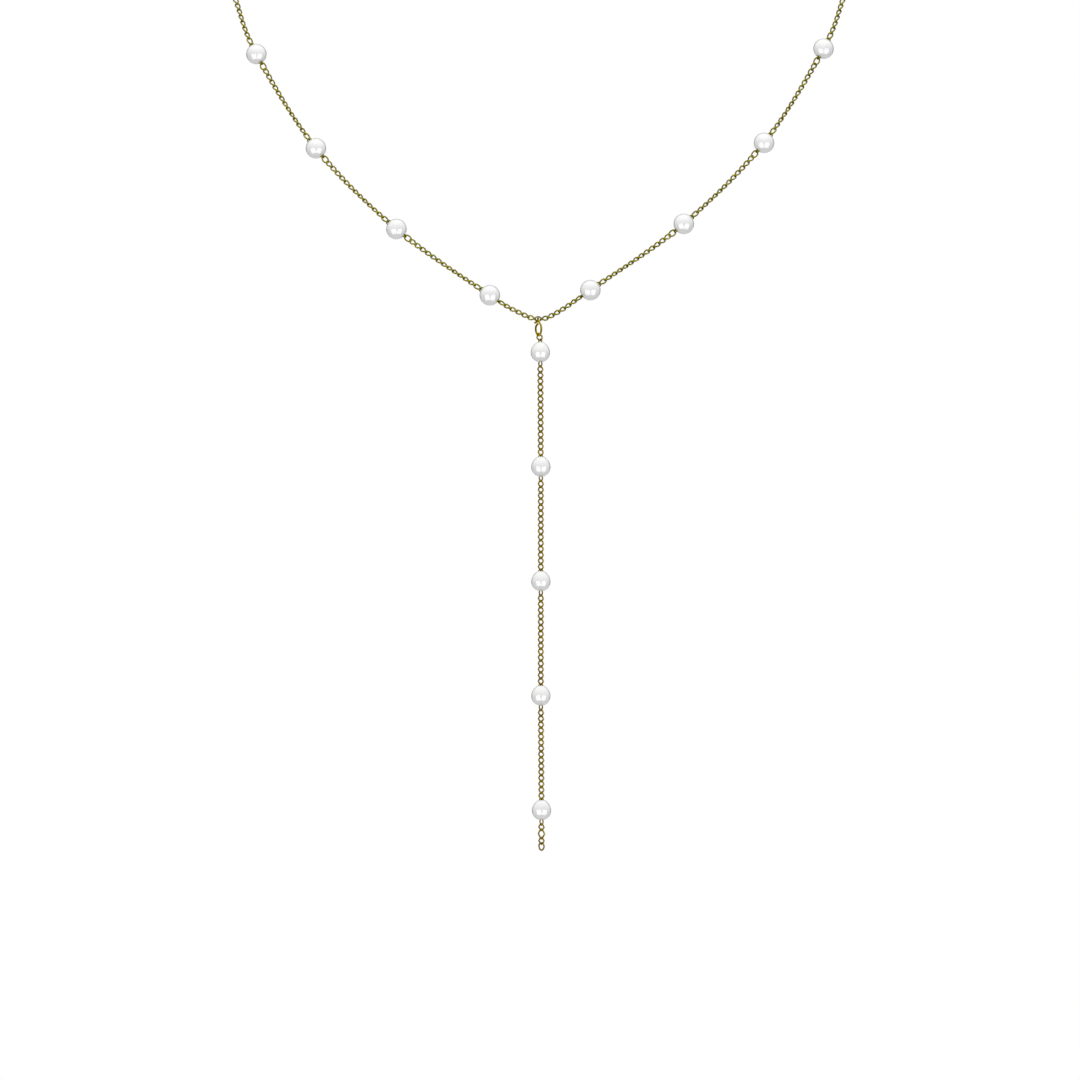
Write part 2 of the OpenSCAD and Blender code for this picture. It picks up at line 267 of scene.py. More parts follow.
def wire_rings(mids: Array, along: Array, across: Array, radius: Array, sides: int) -> Array:
    """Carry a round wire's section along its middle line.

    At each station the section is mid + radius (cos k x + sin k y), where x is the part of the across
    direction that stands square to the wire, and y is along x x.

    Args:
        mids: Middle points, of shape (..., stations, 3).
        along: Direction of the wire at each.
        across: A direction at each that isn't the wire's own.
        radius: Radius of the wire, one number or one a station.
        sides: Vertices round the wire.

    Returns:
        Vertices of shape (..., stations, sides, 3).
    """
    along = unit(along)
    x = unit(across - np.sum(across * along, axis=-1, keepdims=True) * along)
    y = np.cross(along, x)
    turn = 2 * np.pi * np.arange(sides) / sides
    circle = np.cos(turn)[:, None] * x[..., None, :] + np.sin(turn)[:, None] * y[..., None, :]
    return mids[..., None, :] + np.asarray(radius)[..., None, None] * circle


@dataclass
class Surface:
    """Vertices, faces and one vertex measure of a mesh, in millimetres from the junction."""

    vertices: Array
    quads: Array
    # Values of the measure, and its name in the finish
    values: Array
    measure: str = "rub"
    triangles: Array = field(default_factory=lambda: np.zeros((0, 3), dtype=int))

    def piece(self, name: str, finish: Material, slot: Slot, node: str) -> Object:
        """Make the mesh, dress it and let it stand for its CAD node.

        Args:
            name: Name of the piece.
            finish: Its material.
            slot: Not used.
            node: CAD node that the piece stands for.

        Returns:
            The new object, at the origin, with its place in its mesh.
        """
        corners = np.concatenate([self.quads.ravel(), self.triangles.ravel()]).astype(np.int32)
        totals = np.repeat([4, 3], [len(self.quads), len(self.triangles)])
        starts = np.concatenate([[0], np.cumsum(totals)[:-1]]).astype(np.int32)
        mesh = bpy.data.meshes.new(name)
        mesh.vertices.add(len(self.vertices))
        mesh.vertices.foreach_set("co", ((self.vertices - NAPE) * MM).astype(np.float32).ravel())
        mesh.loops.add(len(corners))
        mesh.loops.foreach_set("vertex_index", corners)
        mesh.polygons.add(len(totals))
        mesh.polygons.foreach_set("loop_start", starts)
        mesh.polygons.foreach_set("use_smooth", np.ones(len(totals), dtype=bool))
        mesh.update(calc_edges=True)
        data = mesh.attributes.new(self.measure, "FLOAT", "POINT").data
        data.foreach_set("value", self.values.astype(np.float32))
        mesh.materials.append(finish)
        thing = stand(name, mesh)
        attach(thing, BODY)
        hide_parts(node)
        log.info("%s: %d vertices, %d faces", name, len(self.vertices), len(totals))
        return thing


def joined(parts: list[Surface]) -> Surface:
    """Put several surfaces of the same measure into one.

    Args:
        parts: The surfaces.

    Returns:
        The one surface.
    """
    starts = np.cumsum([0] + [len(part.vertices) for part in parts[:-1]])
    return Surface(
        np.concatenate([part.vertices for part in parts]),
        np.concatenate([part.quads + start for part, start in zip(parts, starts)]),
        np.concatenate([part.values for part in parts]),
        parts[0].measure,
        np.concatenate([part.triangles + start for part, start in zip(parts, starts)]),
    )


def open_wire(mids: Array, along: Array, across: Array, radius: Array, poles: Array, sides: int) -> Surface:
    """Carry a round wire along an open line and close each end on a pole.

    Args:
        mids: Middle line of the wire, one point a row.
        along: Direction of the wire at each.
        across: A direction at each that isn't the wire's own.
        radius: Radius of the wire, one number or one a station.
        poles: Points on which the first and the last ring close.
        sides: Vertices round the wire.

    Returns:
        The closed surface, rubbed nowhere.
    """
    rings = wire_rings(mids, along, across, radius, sides).reshape(-1, 3)
    last = len(rings) - sides
    k = np.arange(sides)
    after, pole = (k + 1) % sides, np.full(sides, len(rings))
    caps = [np.stack([pole, after, k], axis=1), np.stack([pole + 1, last + k, last + after], axis=1)]
    return Surface(
        np.concatenate([rings, poles]), ring_quads(len(mids), sides, wrap=False), np.zeros(len(rings) + 2),
        triangles=np.concatenate(caps),
    )


def round_ended_wire(line: Array, radius: float, across: Array, sides: int) -> Surface:
    """Carry a wire along an open line and round off both ends.

    The line is lengthened at each end by rings at a = 45 and 75 degrees of a half sphere: radius cos a wide
    and radius sin a further out, and closed with a pole at radius further out.

    Args:
        line: Middle line of the wire, one point a row.
        radius: Radius of the wire.
        across: Direction square to the plane in which the wire mostly lies.
        sides: Vertices round the wire.

    Returns:
        The closed surface.
    """
    along = unit(np.gradient(line, axis=0))
    lean = np.radians([45, 75])
    before = line[0] - radius * np.sin(lean[::-1])[:, None] * along[0]
    after = line[-1] + radius * np.sin(lean)[:, None] * along[-1]
    mids = np.concatenate([before, line, after])
    ways = np.concatenate([along[[0, 0]], along, along[[-1, -1]]])
    widths = np.concatenate([np.cos(lean[::-1]), np.ones(len(line)), np.cos(lean)]) * radius
    poles = np.array([line[0] - radius * along[0], line[-1] + radius * along[-1]])
    return open_wire(mids, ways, np.broadcast_to(across, mids.shape), widths, poles, sides)


def torus(centre: Array, axis: Array, radius: float, wire: float, stations: int, sides: int) -> Surface:
    """Bend a round wire into a closed ring.

    The middle line is centre + radius (cos a x + sin a (axis x x)), for a from 0 to 360 degrees, where x is
    the necklace's.

    Args:
        centre: Middle of the ring.
        axis: Direction square to it and to x.
        radius: Radius of the wire's middle line.
        wire: Thickness of the wire.
        stations: Rings along the wire.
        sides: Vertices round the wire.

    Returns:
        The closed surface, rubbed nowhere.
    """
    turn = 2 * np.pi * np.arange(stations)[:, None] / stations
    first = np.array([1.0, 0.0, 0.0])
    second = np.cross(axis, first)
    out = np.cos(turn) * first + np.sin(turn) * second
    along = np.cos(turn) * second - np.sin(turn) * first
    rings = wire_rings(centre + radius * out, along, out, wire / 2, sides).reshape(-1, 3)
    return Surface(rings, ring_quads(stations, sides, wrap=True), np.zeros(len(rings)))


# Finishes


class NodeSheet:
    """Short ways to add and join nodes in one tree."""

    def __init__(self, tree: Tree) -> None:
        """Work on one tree."""
        self.tree = tree

    def fill(self, node: Node, inputs: dict) -> None:
        """Fill a node's inputs.

        Args:
            node: The node.
            inputs: Input names or numbers, each with an output that is joined to it or with its own value.
        """
        for key, value in inputs.items():
            if isinstance(value, Socket):
                self.tree.links.new(value, node.inputs[key])
            else:
                node.inputs[key].default_value = value

    def add(self, kind: str, inputs: dict | None = None, **settings: object) -> Node:
        """Add a node.

        Args:
            kind: Type of the node.
            inputs: Its inputs, as fill takes them.
            settings: Its own settings.

        Returns:
            The new node.
        """
        node = self.tree.nodes.new(kind)
        for name, value in settings.items():
            setattr(node, name, value)
        self.fill(node, inputs or {})
        return node

    def blend(self, share: Socket, first: tuple | Socket, second: tuple) -> Socket:
        """Blend two colours.

        Args:
            share: Output that gives the second colour's share.
            first: Colour where the share is 0, or the output that gives it.
            second: Colour where the share is 1.

        Returns:
            The output with the blended colour.
        """
        start = first if isinstance(first, Socket) else (*first, 1)
        inputs = {"Factor": share, "A": start, "B": (*second, 1)}
        return self.add("ShaderNodeMix", inputs, data_type="RGBA").outputs["Result"]

    def span(self, value: Socket, before: tuple = (0, 1), after: tuple = (0, 1)) -> Socket:
        """Stretch a value from one span to another, held at both ends.

        Args:
            value: Output that gives the value.
            before: Its span.
            after: The span that it is stretched to.

        Returns:
            The output with the stretched value.
        """
        ends = dict(zip(("From Min", "From Max", "To Min", "To Max"), (*before, *after)))
        return self.add("ShaderNodeMapRange", {**ends, "Value": value}, clamp=True).outputs["Result"]

    def measure(self, name: str) -> Socket:
        """Read a vertex measure."""
        return self.add("ShaderNodeAttribute", attribute_name=name).outputs["Fac"]

    def bump(self, height: Socket, strength: float, depth: float) -> Socket:
        """Bend the normal over a height of 0 to 1, which stands for a depth in metres."""
        inputs = {"Strength": strength, "Distance": depth, "Height": height}
        return self.add("ShaderNodeBump", inputs).outputs["Normal"]


def effect_group(name: str, numbers: tuple, output: str) -> tuple[NodeSheet, dict, Node]:
    """Start a shader node group that makes one number of coordinates and numbers of its own.

    Args:
        name: Name of the group.
        numbers: Names of the numbers that it takes.
        output: Name of the number that it gives.

    Returns:
        The group's sheet, the outputs by name that bring its inputs in, and the node that takes its output.
    """
    group = bpy.data.node_groups.new(name, "ShaderNodeTree")
    group.interface.new_socket("Coordinates", in_out="INPUT", socket_type="NodeSocketVector")
    for number in numbers:
        group.interface.new_socket(number, in_out="INPUT", socket_type="NodeSocketFloat")
    group.interface.new_socket(output, in_out="OUTPUT", socket_type="NodeSocketFloat")
    sheet = NodeSheet(group)
    entry = sheet.add("NodeGroupInput")
    given = {key: entry.outputs[key] for key in ("Coordinates", *numbers)}
    return sheet, given, sheet.add("NodeGroupOutput")


def cloud_group(contrast: tuple = (0.32, 0.68)) -> Tree:
    """Make the effect of soft clouds: noise on the coordinates, with its contrast raised.

    Args:
        contrast: Span of the noise that becomes 0 to 1.

    Returns:
        A group with the inputs Coordinates, Grains per metre and Detail, and the output Mask, 0 to 1.
    """
    sheet, given, made = effect_group("soft clouds", ("Grains per metre", "Detail"), "Mask")
    noise = sheet.add("ShaderNodeTexNoise", dict(zip(("Vector", "Scale", "Detail"), given.values())))
    sheet.fill(made, {"Mask": sheet.span(noise.outputs["Fac"], contrast)})
    return sheet.tree


def scratch_group(line: tuple = (0, 0.05), gap: tuple = (0.45, 0.6), detail: float = 2) -> Tree:
    """Make the effect of fine polishing lines: the cell edges of a Voronoi pattern, broken up by noise.

    Args:
        line: Span of the distance to a cell's edge over which a line rises to the surface.
        gap: Span of the noise over which a line breaks off.
        detail: Detail of the noise.

    Returns:
        A group with the inputs Coordinates and Lines per metre, and the output Height, 0 in a line and 1
        beside it.
    """
    sheet, given, made = effect_group("polishing lines", ("Lines per metre",), "Height")
    inputs = {"Vector": given["Coordinates"], "Scale": given["Lines per metre"]}
    cells = sheet.add("ShaderNodeTexVoronoi", inputs, feature="DISTANCE_TO_EDGE")
    breaks = sheet.add("ShaderNodeTexNoise", {**inputs, "Detail": detail})
    both = {0: sheet.span(cells.outputs["Distance"], line), 1: sheet.span(breaks.outputs["Fac"], gap)}
    higher = sheet.add("ShaderNodeMath", both, operation="MAXIMUM")
    sheet.fill(made, {"Height": higher.outputs["Value"]})
    return sheet.tree


@dataclass(frozen=True)
class Effects:
    """The groups that the finishes share."""

    clouds: Tree
    lines: Tree


class FinishSheet(NodeSheet):
    """A finish's sheet, which places the shared groups on the Object coordinates."""

    def __init__(self, tree: Tree, effects: Effects) -> None:
        """Work on one tree with the shared groups."""
        super().__init__(tree)
        self.effects = effects
        self.coordinates = self.add("ShaderNodeTexCoord").outputs["Object"]

    def clouds(self, grain: tuple) -> Socket:
        """Place the soft clouds with their grains per metre and detail, and give their mask."""
        inputs = {"Coordinates": self.coordinates, "Grains per metre": grain[0], "Detail": grain[1]}
        return self.add("ShaderNodeGroup", inputs, node_tree=self.effects.clouds).outputs["Mask"]

    def lines(self, number: float) -> Socket:
        """Place the polishing lines with their number per metre, and give their height."""
        inputs = {"Coordinates": self.coordinates, "Lines per metre": number}
        return self.add("ShaderNodeGroup", inputs, node_tree=self.effects.lines).outputs["Height"]


@dataclass(frozen=True)
class Finish:
    """A material of one Principled shader."""

    name: str

    def inputs(self, sheet: FinishSheet) -> dict:
        """Give the shader's inputs, as fill takes them."""
        raise NotImplementedError

    def material(self, effects: Effects) -> Material:
        """Build the finish.

        Args:
            effects: The shared groups.

        Returns:
            The material.
        """
        material = bpy.data.materials.new(self.name)
        material.use_nodes = True
        sheet = FinishSheet(material.node_tree, effects)
        sheet.fill(material.node_tree.nodes["Principled BSDF"], self.inputs(sheet))
        return material


@dataclass(frozen=True)
class GoldFinish(Finish):
    """Polished gold-coloured plate: two close tones, a rubbed tone where wires touch, and fine lines. The
    tones that each copy is given are darkened by painted shade.
    """

    tone: tuple
    deep_tone: tuple
    rubbed_tone: tuple
    # Tone of what is reflected at a grazing angle
    edge_tone: tuple = (0.97, 0.88, 0.01)
    roughness: tuple = (0.16, 0.3)
    # Grains per metre and detail, of the tones and of the roughness
    clouds: tuple = (900, 2)
    haze: tuple = (6000, 4)
    lines_per_metre: float = 9000
    line_strength: float = 0.35
    line_depth: float = 0.000004

    def inputs(self, sheet: FinishSheet) -> dict:
        """Read the measure "rub", which is 1 where a wire bears on its neighbour.

        Args:
            sheet: The finish's sheet.

        Returns:
            The shader's inputs.
        """
        tones = sheet.blend(sheet.clouds(self.clouds), self.deep_tone, self.tone)
        lines = sheet.lines(self.lines_per_metre)
        return {
            "Base Color": sheet.blend(sheet.measure("rub"), tones, self.rubbed_tone),
            "Roughness": sheet.span(sheet.clouds(self.haze), after=self.roughness),
            "Normal": sheet.bump(lines, self.line_strength, self.line_depth),
            "Metallic": 1,
            "Specular Tint": (*self.edge_tone, 1),
        }


@dataclass(frozen=True)
class PearlFinish(Finish):
    """White pearl lustre: a soft body under a clear, glossy coat, warmer round the drilled ends."""

    name: str = "white pearl"
    body: tuple = (0.9, 0.9, 0.89)
    cloud: tuple = (0.86, 0.862, 0.868)
    end: tuple = (0.78, 0.76, 0.71)
    roughness: tuple = (0.32, 0.38)
    # Grains per metre and detail, of the tones and of the skin
    clouds: tuple = (700, 2)
    grain: tuple = (5000, 3)
    grain_strength: float = 0.05
    grain_depth: float = 0.000003
    body_ior: float = 1.53
    coat_ior: float = 2.0
    coat_roughness: float = 0.04

    def inputs(self, sheet: FinishSheet) -> dict:
        """Read the measure "mouth", which is 1 at the drilled holes and 0 past them.

        Args:
            sheet: The finish's sheet.

        Returns:
            The shader's inputs.
        """
        tones = sheet.blend(sheet.clouds(self.clouds), self.body, self.cloud)
        grain = sheet.clouds(self.grain)
        return {
            "Base Color": sheet.blend(sheet.measure("mouth"), tones, self.end),
            "Roughness": sheet.span(grain, after=self.roughness),
            "Normal": sheet.bump(grain, self.grain_strength, self.grain_depth),
            "IOR": self.body_ior,
            "Coat Weight": 1,
            "Coat Roughness": self.coat_roughness,
            "Coat IOR": self.coat_ior,
        }


@dataclass(frozen=True)
class FloorFinish(Finish):
    """Plain pale studio floor with a barely visible grain."""

    name: str = "pale floor"
    tone: tuple = (0.86, 0.86, 0.86)
    deep_tone: tuple = (0.83, 0.83, 0.835)
    grain: tuple = (6, 4)
    roughness: float = 0.8

    def inputs(self, sheet: FinishSheet) -> dict:
        """Give the shader's inputs, as fill takes them."""
        tones = sheet.blend(sheet.clouds(self.grain), self.deep_tone, self.tone)
        return {"Base Color": tones, "Roughness": self.roughness}


# The necklace


@dataclass
class NecklaceSizes:
    """Sizes that several sub-assemblies share."""

    link_width: float = 1.32
    link_wire: float = 0.25
    link_twist: float = 53
    # Wire of the seen links, thicker than the solids' to show as clearly as in the photo
    seen_wire: float = 0.33
    # Share by which a link narrows to its ends, more than an oval does
    link_point: float = 0.5
    # Length over which one link lies inside the next, in the solids and for the seen, taut links
    link_overlap: float = 0.47
    seen_overlap: float = 0.34
    neck_pitch: float = 1.283
    drop_pitch: float = 1.18
    # From a pearl's middle to the middle of the overlap of its eye and the next link, in the solids
    neck_reach: float = 2.55
    drop_reach_up: float = 2.5
    drop_reach_down: float = 2.7
    # The same for the seen links, which sit closer to the pearls
    seen_neck_reach: float = 2.32
    seen_reach_up: float = 2.34
    seen_reach_down: float = 2.78
    middle_links: dict = field(default_factory=lambda: {Side.LEFT: 6, Side.RIGHT: 7})
    gap_links: int = 14
    end_links: int = 18
    drop_gap_links: int = 15
    side_pearls: int = 9
    front_gaps: int = 2
    drop_pearls: int = 5
    drop_top_z: float = -6.91
    connector_top_z: float = -3.21
    connector_roll: float = 15
    drop_roll: float = -8
    # Share of a link's end turn that the eye it holds follows
    eye_share: float = 0.7
    # Share of a stretch of links, and their roll there
    gap_rolls: tuple = ((0, 42), (0.04, 42), (0.12, 60), (0.35, 66), (0.6, 52), (0.9, 38), (0.96, 6), (1, 6))
    middle_rolls: dict = field(default_factory=lambda: {
        Side.LEFT: ((0, 42), (0.5, 50), (1, 60)), Side.RIGHT: ((0, 44), (0.5, 50), (1, 62)),
    })
    end_rolls: dict = field(default_factory=lambda: {
        Side.LEFT: ((0, 12), (1, -38)), Side.RIGHT: ((0, 12), (1, 52)),
    })
    # Clasp ring, its eye, and the plain ring that it closes on
    clasp_radius: float = 2.15
    clasp_wire: float = 1.2
    tag_wire: float = 0.4
    clasp_eye_radius: float = 0.6
    clasp_eye_step: float = 0.35
    tag_radius: float = 1.15
    tag_room: float = 0.15

    @property
    def link_half_width(self) -> float:
        """Half the width between the middles of a link's two strands."""
        return (self.link_width - self.link_wire) / 2

    @property
    def eye_twist(self) -> float:
        """Turn of an eye from the roll of the link that it holds."""
        return self.eye_share * self.link_twist

    @property
    def clasp_eye_x(self) -> float:
        """Place of the clasp's eye, to the right of the clasp's middle."""
        return -(self.clasp_radius + self.clasp_eye_radius + self.clasp_eye_step)

    @property
    def tag_x(self) -> float:
        """Place of the plain ring, to the right of the clasp's middle."""
        return self.clasp_radius - self.clasp_wire / 2 - self.tag_wire / 2 - self.tag_room + self.tag_radius

    @property
    def seen_neck_pitch(self) -> float:
        """Pitch of the seen links between two neck pearls."""
        return self.neck_pitch + 2 * (self.neck_reach - self.seen_neck_reach) / self.gap_links

    def chain_end(self, side: Side) -> float:
        """Place, right of the clasp's middle, where a side's last link holds the clasp or the plain ring."""
        if side is Side.LEFT:
            return self.clasp_eye_x - self.clasp_eye_radius + self.link_overlap / 2
        return self.tag_x + self.tag_radius - self.link_overlap / 2

    def pearl_s(self, side: Side, k: Array) -> Array:
        """Length from the junction to the middle of neck pearl k, counted from 0."""
        first = self.neck_reach + (self.middle_links[side] + 0.5) * self.neck_pitch
        return first + k * (self.gap_links * self.neck_pitch + 2 * self.neck_reach)

    def drop_pearl_z(self, k: Array) -> Array:
        """Height of the middle of drop pearl k, counted from 0 at the top."""
        step = self.drop_gap_links * self.drop_pitch + self.drop_reach_up + self.drop_reach_down
        return self.drop_top_z - k * step

    def drop_reach(self, k: int) -> float:
        """Reach of the seen eye above drop pearl k: the solids' one under the bail."""
        return self.seen_reach_up if k else self.drop_reach_up

    def rolls(self, side: Side, table: tuple, count: int) -> Array:
        """Rolls of a stretch of links at their middles, mirrored from side to side as the links' twist is."""
        places, rolls = np.array(table, dtype=float).T
        return -side.value * np.interp((np.arange(count) + 0.5) / count, places, rolls)

    def middle_roll(self, side: Side) -> Array:
        """Rolls of the links between the junction and the first pearl."""
        return self.rolls(side, self.middle_rolls[side], self.middle_links[side])

    def gap_roll(self, side: Side) -> Array:
        """Rolls of the links of one gap, from its lower pearl to its upper one."""
        return self.rolls(side, self.gap_rolls, self.gap_links)

    def end_roll(self, side: Side) -> Array:
        """Rolls of the links between the last pearl and the clasp."""
        return self.rolls(side, self.end_rolls[side], self.end_links)


@dataclass
class Links:
    """A run of curb links, each an oval of round wire twisted about its length."""

    frames: Array
    pitch: Array
    half_width: Array
    twist: Array
    roll: Array
    # Share by which each link narrows to its ends, more than an oval does
    point: Array

    @staticmethod
    def run(frames: Array, *values: Array) -> "Links":
        """Links with pitch, half width, twist, roll and point share, each one number or one a link."""
        ones = np.ones(len(frames))
        return Links(frames, *(value * ones for value in values))

    @staticmethod
    def joined(runs: list["Links"]) -> "Links":
        """Several runs as one."""
        return Links(*(np.concatenate([getattr(run, key.name) for run in runs]) for key in fields(Links)))

    def surface(self, wire: float, overlap: float, stations: int = 12, sides: int = 5) -> Surface:
        """Carry the wire round every link at once.

        At angle a round a link its strand stands r = half_width sin a (1 - point cos^2 a) from the length
        axis, turned by twist cos a + roll about it, at the height (pitch + overlap) / 2 cos a.

        Args:
            wire: Thickness of the wire.
            overlap: Length over which one link lies inside the next.
            stations: Stations round a link.
            sides: Vertices round the wire.

        Returns:
            The surface, with the measure "rub": cos a raised to the fourth power, on the side towards the
            middle.
        """
        angle = 2 * np.pi * np.arange(stations) / stations

        def strand(a: Array) -> tuple[Array, Array]:
            """Middle line of the wire at angles a, and the turn of the strand there."""
            turn = np.radians(self.twist[:, None] * np.cos(a) + self.roll[:, None])
            radius = self.half_width[:, None] * np.sin(a) * (1 - self.point[:, None] * np.cos(a) ** 2)
            height = (self.pitch[:, None] + overlap) / 2 * np.cos(a)
            return np.stack([radius * np.cos(turn), radius * np.sin(turn), height], axis=-1), turn

        mids, turn = strand(angle)
        along = strand(angle + PROBE_ANGLE)[0] - strand(angle - PROBE_ANGLE)[0]
        face = np.stack([-np.sin(turn), np.cos(turn), 0 * turn], axis=-1)
        rings = wire_rings(mids, along, face, wire / 2, sides)
        inward = np.clip(-np.sum((rings - mids[:, :, None]) * mids[:, :, None], axis=-1), 0, None)
        inward = inward / (wire / 2 * np.linalg.norm(mids, axis=-1)[:, :, None])
        rub = inward * np.cos(angle)[None, :, None] ** 4
        faces = repeated(ring_quads(stations, sides, wrap=True), stations * sides, len(self.frames))
        return Surface(placed(self.frames, rings).reshape(-1, 3), faces, rub.ravel())


@dataclass
class Assembly:
    """A sub-assembly of the necklace: it works out its surfaces, and makes a piece of each."""

    sizes: NecklaceSizes
    loop: LoopRoute
    drop: DropRoute

    def surfaces(self) -> Iterator[tuple[str, str, Surface]]:
        """Give the name, the CAD node and the surface of each piece."""
        raise NotImplementedError

    def build(self, finish: Material, slot: Slot) -> list[Object]:
        """Make the pieces.

        Args:
            finish: Their material.
            slot: The slot that it belongs to, passed on to each piece.

        Returns:
            The pieces.
        """
        return [made.piece(name, finish, slot, node) for name, node, made in self.surfaces()]


@dataclass
class NeckChain(Assembly):
    """The loop's chain: real links all the way from the junction to the clasp on both sides."""

    junction_roll: float = 30
    junction_point: float = 0.8
    # Twist and point share of a link that holds a pearl's eye: it is flatter and rounder than the others
    eye_link_twist: float = 20
    eye_link_point: float = 0.1

    def run(self, side: Side, start: float, pitch: float, roll: Array, eye_links: list) -> Links:
        """Set up a stretch of links of one side.

        Args:
            side: The half of the loop.
            start: Length from the junction to the first link's middle.
            pitch: Length from one link to the next.
            roll: Roll of each link.
            eye_links: Places in the stretch of the links that hold a pearl's eye.

        Returns:
            The links.
        """
        frames = self.loop.frames(side, start + pitch * np.arange(len(roll)))
        sizes = self.sizes
        twist = side.value * sizes.link_twist
        links = Links.run(frames, pitch, sizes.link_half_width, twist, roll, sizes.link_point)
        links.twist[eye_links] = side.value * self.eye_link_twist
        links.point[eye_links] = self.eye_link_point
        return links

    def middle(self, side: Side) -> Links:
        """Links between the junction's and the first pearl."""
        sizes = self.sizes
        pitch = (sizes.pearl_s(side, 0) - sizes.seen_neck_reach) / (sizes.middle_links[side] + 0.5)
        return self.run(side, pitch, pitch, sizes.middle_roll(side), [-1])

    def gap(self, side: Side, k: int) -> Links:
        """Links between neck pearls k and k + 1."""
        sizes, pitch = self.sizes, self.sizes.seen_neck_pitch
        start = sizes.pearl_s(side, k) + sizes.seen_neck_reach + pitch / 2
        return self.run(side, start, pitch, sizes.gap_roll(side), [0, -1])

    def end(self, side: Side) -> Links:
        """Links between the last pearl and the clasp, at the pitch that fills that stretch."""
        sizes = self.sizes
        start = sizes.pearl_s(side, sizes.side_pearls - 1) + sizes.seen_neck_reach
        pitch = (self.loop.side_length(side) - side.value * sizes.chain_end(side) - start) / sizes.end_links
        return self.run(side, start + pitch / 2, pitch, sizes.end_roll(side), [0])

    def surfaces(self) -> Iterator[tuple[str, str, Surface]]:
        """Give the front stretch, with the junction's link first, and the rest of each side."""
        sizes = self.sizes
        junction = Links.run(
            self.loop.frames(Side.RIGHT, np.zeros(1)), sizes.neck_pitch, sizes.link_half_width, 0,
            self.junction_roll, self.junction_point,
        )
        front = [junction, *(self.middle(side) for side in Side)]
        front += [self.gap(side, k) for side in Side for k in range(sizes.front_gaps)]
        stretches = {"neck_chain_front": front}
        for side in Side:
            gaps = [self.gap(side, k) for k in range(sizes.front_gaps, sizes.side_pearls - 1)]
            stretches[f"neck_chain_{side.name.lower()}"] = [*gaps, self.end(side)]
        for node, runs in stretches.items():
            yield f"{node}_links", node, Links.joined(runs).surface(sizes.seen_wire, sizes.seen_overlap)


@dataclass
class DropChain(Assembly):
    """The drop's chain: the link under the bail, four gaps of links and a short tail."""

    # Pitch of each link of the tail, and width between the middles of its wire
    tail: tuple = ((1.08, 1.05), (1.66, 1.24), (1.08, 1.05), (1.18, 1.05))
    # The seen links of the drop are a little narrower than the solids, more twisted and more pointed
    half_width: float = 0.5
    twist: float = 62
    point: float = 0.66
    wire: float = 0.34
    # Twist and point share of the lowest link, which is open and round
    last_twist: float = 38
    last_point: float = -0.1

    def surfaces(self) -> Iterator[tuple[str, str, Surface]]:
        """Give the drop's links, from the top down."""
        sizes = self.sizes
        pitch = sizes.connector_top_z - sizes.drop_top_z - sizes.drop_reach_up
        runs = [Links.run(
            self.drop.frames(np.array([sizes.connector_top_z - pitch / 2])), pitch, sizes.link_half_width,
            sizes.link_twist, sizes.connector_roll, sizes.link_point,
        )]
        for k in range(sizes.drop_pearls - 1):
            start = sizes.drop_pearl_z(k) - sizes.seen_reach_down
            pitch = (start - sizes.drop_pearl_z(k + 1) - sizes.drop_reach(k + 1)) / sizes.drop_gap_links
            frames = self.drop.frames(start - (np.arange(sizes.drop_gap_links) + 0.5) * pitch)
            runs.append(Links.run(frames, pitch, self.half_width, self.twist, sizes.drop_roll, self.point))
        pitch, width = np.array(self.tail).T
        top = sizes.drop_pearl_z(sizes.drop_pearls - 1) - sizes.seen_reach_down
        frames = self.drop.frames(top - np.cumsum(pitch) + pitch / 2)
        tail = Links.run(frames, pitch, width / 2, self.twist, sizes.drop_roll, self.point)
        tail.twist[-1], tail.point[-1] = self.last_twist, self.last_point
        links = Links.joined([*runs, tail]).surface(self.wire, sizes.seen_overlap)
        yield "drop_chain_links", "drop_chain", links


@dataclass(frozen=True)
class Eye:
    """One eye of a pin: a half circle towards the pearl, and a half oval away from it."""

    # Distance of its middle from the pearl's middle, and length of the half oval
    middle: float
    outer: float
    # Turn about the pin's length, in degrees
    turn: float


